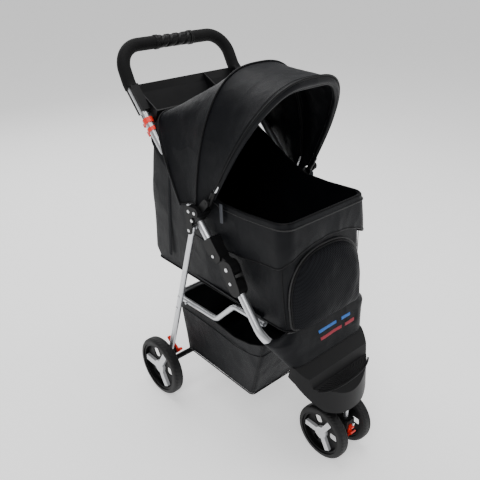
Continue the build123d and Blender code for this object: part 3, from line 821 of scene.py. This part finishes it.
def band_lay(u, v):
    """Folded cover that hangs outside the rim of the sides and the front."""
    first, last = 29, 14 + 40 + 5 + 44 + 5 + 25
    at = first + (last - first) * u
    i = int(at)
    here, there = STATIONS[i], STATIONS[min(i + 1, len(STATIONS) - 1)]
    top = wall_point(here, 1.0, 3.0).lerp(wall_point(there, 1.0, 3.0), at - i)
    reach = ease(((-212.0, 0.0), (-205.0, 0.18), (-190.0, 0.35), (-24.0, 1.0)), top.y)
    mid_front = 1.0 - min(1.0, abs(top.x) / 139.0) ** 2.2 if top.y < -195.0 else 0.0
    lower = 578.0 + 37.0 * mid_front - 33.0 * reach
    level = (lower - 396.0) / (top.z - 396.0)
    low = wall_point(here, level, 4.5).lerp(wall_point(there, level, 4.5), at - i)
    point = top.lerp(low, v)
    out = Vector((point.x, (point.y - 20.0) * 0.6, 0.0)).normalized()
    puff = math.sin(math.pi * min(1.0, v * 0.72 + 0.1)) * 4.5
    depth = sizes().crease / MM
    ripple = sharp_crease((at * 0.09, v * 0.9, 0.0), (1.0, 1.0, 1.0), 2.2) - 0.4
    soft = creased(point, (0.02, 0.02, 0.012), 4.0)
    return point + out * (puff + depth * 0.75 * v * ripple + depth * 0.5 * soft * v)


class STROLLER_OT_cabin(Operator):
    """Sews the cabin: floor and walls with the window's hole, the folded cover, piping and corner seams"""
    bl_idname = "stroller.cabin"
    bl_label = "Cabin"

    def execute(self, context):
        piece = cut_cloth("cabin_cloth", len(STATIONS), 74, cabin_lay, (1.02, 0.52))
        edit(piece, weld)
        pick(piece)
        bpy.ops.object.mode_set(mode="EDIT")
        bpy.ops.mesh.select_mode(type="FACE")
        bpy.ops.object.mode_set(mode="OBJECT")
        for face in piece.data.polygons:
            c = face.center / MM
            face.select = c.y < -195.0 and in_window(c.x, c.z, 7.0)
        bpy.ops.object.mode_set(mode="EDIT")
        bpy.ops.mesh.delete(type="FACE")
        bpy.ops.object.mode_set(mode="OBJECT")
        edit(piece, outward)
        forget_share(piece)
        thicken(piece, sizes().cloth)
        dress(piece, "cloth", "seat_frame")
        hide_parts("cabin_shell")
        crumple(piece)
        band = cut_cloth("cabin_cover", 170, 22, band_lay, (0.72, 0.10))
        thicken(band, sizes().cloth)
        round_off(band)
        forget_share(band)
        dress(band, "cloth", "seat_frame")
        crumple(band)
        piping = sizes().piping
        rim = along_line("cabin_rim_piping", rim_points(0, len(STATIONS), 2.0), piping * 1.1, True)
        crumple(dress(rim, "trim", "seat_frame"))
        hem = [band_lay(i / 139, 0.985) + Vector((0, 0, 0.5)) for i in range(140)]
        crumple(bead("cabin_cover_hem", hem, piping * 1.15, "trim", "seat_frame"))
        inner = [wall_point(STATIONS[i], 0.955, 5.2) for i in range(22, len(STATIONS) - 22)]
        crumple(bead("cabin_zip", inner, 0.0018, "zip", "seat_frame"))
        for tag, station in (("right", 14 + 40 + 2), ("left", 14 + 40 + 5 + 44 + 2)):
            seam = [wall_point(STATIONS[station], 0.02 + 0.96 * i / 40, 1.2) for i in range(41)]
            crumple(bead(f"cabin_corner_seam_{tag}", seam, 0.0011, "trim", "seat_frame"))
        floor_seam = [wall_point(s, 0.0, 0.8) for s in STATIONS]
        crumple(bead("cabin_floor_seam", floor_seam, piping * 0.8, "trim", "seat_frame", closed=True))
        return {"FINISHED"}


def crumple(piece):
    """Gives a soft piece of the cabin its own copy of its mesh."""
    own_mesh(piece)
    return piece


# ---------------------------------------------------------------- window
def outline_reach(angle):
    """How far the window's outline is from its middle in one direction."""
    near, far = 0.0, 220.0
    for _ in range(22):
        reach = (near + far) / 2
        x, z = reach * math.cos(angle), 486.0 + reach * math.sin(angle)
        if abs(x) < window_half(z):
            near = reach
        else:
            far = reach
    return near


OUTLINE = [outline_reach(2.0 * math.pi * i / 240 - math.pi / 2) for i in range(240)]


def window_outline(share, shrink=0.0):
    """Point on the window's closed outline."""
    angle = 2.0 * math.pi * share - math.pi / 2
    reach = OUTLINE[round(share * 240) % 240] - shrink
    return reach * math.cos(angle), 486.0 + reach * math.sin(angle)


def front_y(z):
    return -234.0 + (z - 392.0) * 0.0772


def window_lay(u, v):
    """Bulging panel: the outline at v 0, the crown at v 1."""
    x, z = window_outline(u)
    middle = 486.0
    share = (1.0 - v)
    depth = 41.0 * (1.0 - share ** 3.6) ** 0.62
    px, pz = x * share, middle + (z - middle) * share
    ripple = creased((px, pz, 0.0), (0.022, 0.016, 1.0), 1.7) * 3.0 * math.sin(math.pi * min(1.0, v + 0.1))
    lean = (pz - 486.0) * 0.05
    return (px, front_y(pz) - 2.5 - depth - ripple + lean, pz)


class STROLLER_OT_window(Operator):
    """Sews the front window: a bulging mesh panel with its zip and bound edge"""
    bl_idname = "stroller.window"
    bl_label = "Window"

    def execute(self, context):
        piece = cut_cloth("window_mesh", 120, 30, window_lay, (0.7, 0.13))
        edit(piece, weld, outward)
        forget_share(piece)
        thicken(piece, sizes().cloth)
        dress(piece, "mesh", "window")
        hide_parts("window_flap")
        crumple(piece)
        edge = [(x, front_y(z) - 3.2, z) for x, z in (window_outline(i / 120) for i in range(120))]
        crumple(bead("window_binding", edge, 0.0030, "trim", "window", closed=True))
        track = [(x, front_y(z) - 1.2, z) for x, z in (window_outline(i / 120, -5.5) for i in range(120))]
        crumple(bead("window_zip", track, 0.0026, "zip", "seat_frame", closed=True))
        return {"FINISHED"}


# ---------------------------------------------------------------- basket
BASKET_TOP = ((-168.0, 330.0), (-120.0, 308.0), (-60.0, 297.0), (20.0, 305.0), (110.0, 309.0), (186.0, 311.0))


def basket_point(station, level, out=0.0):
    half = 139.0 + 7.0 * level
    front, back = -121.0 - 47.0 * level - out, 159.0 + 27.0 * level + out
    x, y = plan_point(station, half + out, half + out, front, back, 12.0, 12.0)
    top = ease(BASKET_TOP, y)
    z = 135.0 + (top - 135.0) * level
    sag = math.sin(math.pi * level)
    long_side = max(0.0, 1.0 - abs((y - 10.0) / 165.0) ** 3)
    x -= math.copysign(5.0 * sag * long_side, x) if abs(x) > 100 else 0.0
    y += 5.0 * sag * (1 if y < 0 else -1) * max(0.0, 1.0 - (x / 140.0) ** 2)
    return Vector((x, y, z))


def basket_lay(u, v):
    station = STATIONS[round(u * len(STATIONS)) % len(STATIONS)]
    base = 0.2
    if v < base:
        edge = basket_point(station, 0.0)
        inner = Vector((0.0, edge.y * 0.5 + 8.0, edge.z))
        point = inner.lerp(edge, (v / base) ** 0.8)
        point.z -= 3.0 * math.sin(math.pi * v / base)
        return point
    level = (v - base) / (1.0 - base)
    point = basket_point(station, level)
    out = Vector((point.x, point.y - 10.0, 0.0)).normalized()
    depth = sizes().crease / MM
    wrinkle = creased(point, (0.013, 0.013, 0.009), 6.6) + 0.5 * sharp_crease(
        (point.x + point.y, point.z + point.y * 0.5, 0.0), (0.012, 0.014, 1.0), 9.1) - 0.3
    return point + out * (depth * 0.8 * wrinkle * math.sin(math.pi * min(1.0, level * 0.95 + 0.02)))


def fold_basket(piece):
    """Gives a soft piece of the basket its own copy of its mesh."""
    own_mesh(piece)
    return piece


class STROLLER_OT_basket(Operator):
    """Sews the storage basket with its hem, band seam, floor seam and corner seams"""
    bl_idname = "stroller.basket"
    bl_label = "Basket"

    def execute(self, context):
        piece = cut_cloth("basket_cloth", len(STATIONS), 52, basket_lay, (1.2, 0.38))
        edit(piece, weld, outward)
        forget_share(piece)
        thicken(piece, sizes().cloth)
        dress(piece, "cloth", "seat_frame")
        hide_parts("storage_basket")
        fold_basket(piece)
        top = [basket_point(s, 0.995, 0.6) for s in STATIONS]
        fold_basket(bead("basket_hem", top, 0.0022, "trim", "seat_frame", closed=True))
        band = [basket_point(s, 0.80, 1.0) for s in STATIONS]
        fold_basket(bead("basket_band_seam", band, 0.0009, "trim", "seat_frame", closed=True, sides=2))
        foot = [basket_point(s, 0.0, 0.8) for s in STATIONS]
        fold_basket(bead("basket_floor_seam", foot, 0.0017, "trim", "seat_frame", closed=True))
        corners = (("front_right", 56), ("front_left", 105), ("rear_right", 11), ("rear_left", 150))
        for tag, station in corners:
            seam = [basket_point(STATIONS[station], i / 24, 1.0) for i in range(25)]
            fold_basket(bead(f"basket_seam_{tag}", seam, 0.0013, "trim", "seat_frame"))
        return {"FINISHED"}


# ---------------------------------------------------------------- apron
def apron_point(u, v, out=0.0):
    """Trapezoid between the cabin and the footboard, wrapped back round the tubes at its sides."""
    half = ease(((0.0, 128.0), (0.12, 150.0), (0.24, 175.0), (0.575, 155.0), (1.0, 132.0)), v)
    back = ease(((0.0, 14.0), (0.12, 22.0), (0.24, 57.0), (0.575, 45.0), (1.0, 26.0)), v)
    side = 2.0 * u - 1.0
    turn = 1.9 * max(0.0, abs(side) - 0.7) / 0.3
    x = half * math.copysign(min(abs(side), 0.7) + 0.3 * math.sin(turn), side)
    y = -236.0 - 27.5 * v + back * 0.755 * (1.0 - math.cos(turn))
    z = 390.0 - 87.0 * v
    wrinkle = creased((x, y, z), (0.02, 0.02, 0.03), 7.7) * 1.8 * math.sin(math.pi * v)
    return Vector((x, y - out - wrinkle, z))


class STROLLER_OT_apron(Operator):
    """Sews the front apron and its plain embroidered bars"""
    bl_idname = "stroller.apron"
    bl_label = "Apron"

    def execute(self, context):
        piece = cut_cloth("apron_cloth", 90, 30, lambda u, v: apron_point(u, v), (0.28, 0.092))
        forget_share(piece)
        thicken(piece, sizes().cloth)
        dress(piece, "cloth", "lower_frame")
        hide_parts("front_apron")
        edge = [apron_point(i / 60, 0.985, 0.8) for i in range(61)]
        bead("apron_hem", edge, 0.0012, "trim", "lower_frame")
        bars = (("blue", 0.40, 0.30, 0.20), ("red", 0.40, 0.52, 0.26), ("blue", 0.66, 0.30, 0.10),
                ("red", 0.70, 0.52, 0.12))
        for i, (colour, u0, v0, long) in enumerate(bars):
            def lay(u, v, u0=u0, v0=v0, long=long):
                return apron_point(u0 + long * u, v0 + 0.085 * v, 0.9 + 0.5 * math.sin(math.pi * v))
            bar = cut_cloth(f"apron_bar_{i + 1}", 40, 6, lay, (0.04, 0.008))
            forget_share(bar)
            thicken(bar, 0.0012, 0.0)
            dress(bar, colour + "_thread", "lower_frame")
        return {"FINISHED"}


# ---------------------------------------------------------------- handle
def grip_lay(u, v):
    """Rubber grip on the crossbar: collars at its ends and oblique grooves round its middle."""
    x = -62.0 + 124.0 * v
    turn = 2.0 * math.pi * u
    end = 62.0 - abs(x)
    radius = 16.4
    if end < 11.0:
        radius = 18.9 - 0.8 * (1.0 if 5.0 < end < 6.6 else 0.0)
    elif end < 13.0:
        radius = 16.8
    else:
        wave = math.sin(turn * 2.0 + x * 0.23)
        radius = 17.1 - 2.3 * max(0.0, wave) ** 2
    if end < 1.2:
        radius -= 1.4 * (1.2 - end) / 1.2
    return (x, 355.0 + radius * math.cos(turn), 981.0 + radius * math.sin(turn))


class STROLLER_OT_grip(Operator):
    """Shapes the handle's middle grip with its grooves and end collars"""
    bl_idname = "stroller.grip"
    bl_label = "Grip"

    def execute(self, context):
        piece = cut_cloth("grip_rubber", 96, 150, grip_lay, (0.1, 0.12))
        edit(piece, weld, outward)
        forget_share(piece)
        thicken(piece, 0.003)
        dress(piece, "black_plastic", "upper_frame")
        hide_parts("centre_grip")
        return {"FINISHED"}


# ---------------------------------------------------------------- tyres
def tyre_lay(radius, width, axle, middle):
    blocks = sizes().tread_blocks
    groove = sizes().tread_depth / MM
    depth = 15.0

    def lay(u, v):
        turn = 2.0 * math.pi * u
        across = math.pi * (1.04 - 1.08 * v)
        side = math.cos(across)
        x = width / 2 * math.copysign(abs(side) ** 0.62, side)
        high = max(0.0, math.sin(across)) ** 0.55
        r = radius - depth + depth * high
        if v < 0.03 or v > 0.97:
            r = radius - depth
        tread = abs(x) < width * 0.40
        if tread:
            slant = u * blocks + abs(x) / width * 2.4
            cut = abs(slant % 1.0 - 0.5) > 0.38
            rib = abs(abs(x) - width * 0.13) < 0.9
            r -= groove * (1.0 if cut and abs(x) > width * 0.13 else 0.0) + (groove * 0.8 if rib else 0.0)
        return (middle + x, axle[0] + r * math.cos(turn), axle[1] + r * math.sin(turn))

    return lay


class STROLLER_OT_tyres(Operator):
    """Moulds the four tyres with their tread"""
    bl_idname = "stroller.tyres"
    bl_label = "Tyres"

    def execute(self, context):
        wheels = (("rear", 89.0, 32.0, (191.0, 89.0), 216.4), ("front", 76.0, 31.0, (-297.0, 76.0), 46.5))
        for end, radius, width, axle, middle in wheels:
            for side, sign in (("left", 1), ("right", -1)):
                lay = tyre_lay(radius, width, axle, middle * sign)
                piece = cut_cloth(f"{end}_tyre_rubber_{side}", 352, 30, lay, (0.5, 0.05))
                edit(piece, weld, outward)
                forget_share(piece)
                thicken(piece, 0.002)
                dress(piece, "tyre", f"{end}_wheel_{side}", 50)
                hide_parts(f"{end}_tyre_{side}")
        return {"FINISHED"}


# ---------------------------------------------------------------- footboard and small fittings
class STROLLER_OT_fittings(Operator):
    """Adds the footboard's tread ribs, the fork's screw and the rim straps"""
    bl_idname = "stroller.fittings"
    bl_label = "Small fittings"

    def execute(self, context):
        for i in range(8):
            wide, deep = 92.0 - 10.5 * i, 28.5 - 3.4 * i
            rib = []
            for k in range(41):
                turn = math.pi * (0.06 + 0.88 * k / 40)
                y = -300.5 - deep * math.sin(turn)
                rib.append((wide * math.cos(turn), y, 252.2 + (y + 300.0) * 0.355))
            bead(f"nose_rib_{i + 1}", rib, 0.0017, "grey_plastic", "lower_frame", "grey_plastic", sides=2)
        lip = [(98.0 * math.sin(k / 30 - 1.0) / math.sin(1.0), -331.5 + 20.0 * abs(k / 30 - 1.0) ** 2.4, 0.0)
               for k in range(61)]
        lip = [(x, y, 242.0 + (y + 331.5) * 0.355) for x, y, z in lip]
        bead("nose_lip", lip, 0.0026, "grey_plastic", "lower_frame", "grey_plastic", sides=4)
        for side, sign in (("left", 1), ("right", -1)):
            foam = [(sign * x, y, z) for x, y, z in ((175.0, 300.6, 889.1), (175.0, 306.0, 895.0),
                                                     (174.9, 310.6, 900.9), (174.7, 315.8, 909.6))]
            piece = along_line(f"foam_end_{side}", foam, 0.0171, sides=8)
            dress(piece, "foam", "upper_frame")
            vent = [wall_point(STATIONS[20 if sign < 0 else len(STATIONS) - 20], 0.10 + 0.78 * k / 30, 1.4)
                    for k in range(31)]
            crumple(bead(f"cabin_vent_{side}", vent, 0.0075, "mesh", "seat_frame", "mesh", flat=0.16))
        clear_selection()
        bpy.ops.mesh.primitive_cylinder_add(vertices=24, radius=0.0042, depth=0.004,
                                            location=(0, -0.3562, 0.1105),
                                            rotation=(math.radians(90), 0, 0))
        screw = bpy.context.object
        screw.name = "fork_screw"
        bpy.ops.object.transform_apply(location=True, rotation=True, scale=True)
        modify(screw, "BEVEL", width=0.0008, segments=2)
        dress(screw, "steel", "caster")
        for side, sign in (("left", 1), ("right", -1)):
            strap = [(sign * (158.5 + 1.5 * math.sin(t / 11.0 * math.pi)), -26.0 - 0.2 * t, 672.0 - 4.4 * t)
                     for t in range(12)]
            piece = along_line(f"rim_strap_{side}", strap, 0.0058, flat=0.22)
            crumple(dress(piece, "webbing", "seat_frame"))
        return {"FINISHED"}


# ---------------------------------------------------------------- CAD nodes
class STROLLER_OT_finishes(Operator):
    """Gives every frame part its finish"""
    bl_idname = "stroller.finishes"
    bl_label = "Frame finishes"

    def execute(self, context):
        for name, node in frame["nodes"].items():
            node.data.materials.clear()
            node.data.materials.append(finish_of(SLOTS[name]))
        return {"FINISHED"}


# ---------------------------------------------------------------- stage
def soft_light(name, place, aim, size, power):
    light = bpy.data.lights.new(name, "AREA")
    light.shape = "RECTANGLE"
    light.size, light.size_y = size
    light.energy = power
    lamp = bpy.data.objects.new(name, light)
    bpy.context.scene.collection.objects.link(lamp)
    lamp.location = place
    lamp.rotation_euler = (Vector(aim) - Vector(place)).to_track_quat("-Z", "Y").to_euler()


class STROLLER_OT_stage(Operator):
    """Lays the floor, hangs the lights and sets the camera"""
    bl_idname = "stroller.stage"
    bl_label = "Stage"

    def execute(self, context):
        clear_selection()
        bpy.ops.mesh.primitive_plane_add(size=60.0, location=(0, 0, -0.0005))
        floor = bpy.context.object
        floor.name = "studio_floor"
        bpy.ops.object.transform_apply(location=True, rotation=True, scale=True)
        floor.data.materials.append(finish_of("floor"))
        soft_light("key_softbox", (-1.9, -1.6, 2.6), (0, 0, 0.5), (1.6, 1.6), 46.0)
        soft_light("fill_softbox", (2.2, -1.5, 1.7), (0, 0, 0.5), (1.5, 1.5), 16.0)
        soft_light("top_softbox", (0.2, 0.4, 3.0), (0, 0, 0.5), (2.2, 2.2), 62.0)
        soft_light("back_softbox", (0.3, 2.6, 1.9), (0, 0, 0.5), (2.0, 1.2), 30.0)
        world = bpy.data.worlds.new("studio")
        world.use_nodes = True
        backdrop = world.node_tree.nodes["Background"]
        backdrop.inputs["Color"].default_value = (1.0, 1.0, 1.0, 1.0)
        backdrop.inputs["Strength"].default_value = 0.34
        context.scene.world = world
        lens = bpy.data.cameras.new("camera")
        lens.sensor_width = 36.0
        lens.lens = 45.086
        camera = bpy.data.objects.new("camera", lens)
        context.scene.collection.objects.link(camera)
        camera.location = (-0.98867, -1.01909, 1.26075)
        back = Vector((-0.590, -0.658, 0.4675)).normalized()
        camera.rotation_euler = back.to_track_quat("Z", "Y").to_euler()
        context.scene.camera = camera
        return {"FINISHED"}


class STROLLER_PT_panel(Panel):
    """Sizes, colours and pieces of the stroller"""
    bl_idname = "STROLLER_PT_panel"
    bl_label = "Pet stroller"
    bl_space_type = "VIEW_3D"
    bl_region_type = "UI"
    bl_category = "Stroller"

    def draw(self, context):
        for group in (context.scene.stroller_sizes, context.scene.stroller_colours):
            box = self.layout.box()
            for key in group.__annotations__:
                box.prop(group, key)
        for operator in OPERATORS:
            self.layout.operator(operator.bl_idname)


OPERATORS = (STROLLER_OT_finishes, STROLLER_OT_canopy, STROLLER_OT_cabin, STROLLER_OT_window,
             STROLLER_OT_basket, STROLLER_OT_apron, STROLLER_OT_grip, STROLLER_OT_tyres,
             STROLLER_OT_fittings, STROLLER_OT_stage)
CLASSES = (StrollerSizes, StrollerColours, *OPERATORS, STROLLER_PT_panel)


def register():
    for cls in CLASSES:
        bpy.utils.register_class(cls)
    bpy.types.Scene.stroller_sizes = PointerProperty(type=StrollerSizes)
    bpy.types.Scene.stroller_colours = PointerProperty(type=StrollerColours)


def unregister():
    del bpy.types.Scene.stroller_sizes
    del bpy.types.Scene.stroller_colours
    for cls in reversed(CLASSES):
        bpy.utils.unregister_class(cls)


def main():
    register()
    bpy.ops.stroller.finishes()
    bpy.ops.stroller.canopy()
    bpy.ops.stroller.cabin()
    bpy.ops.stroller.window()
    bpy.ops.stroller.basket()
    bpy.ops.stroller.apron()
    bpy.ops.stroller.grip()
    bpy.ops.stroller.tyres()
    bpy.ops.stroller.fittings()
    bpy.ops.stroller.stage()


if __name__ == "__main__":
    main()
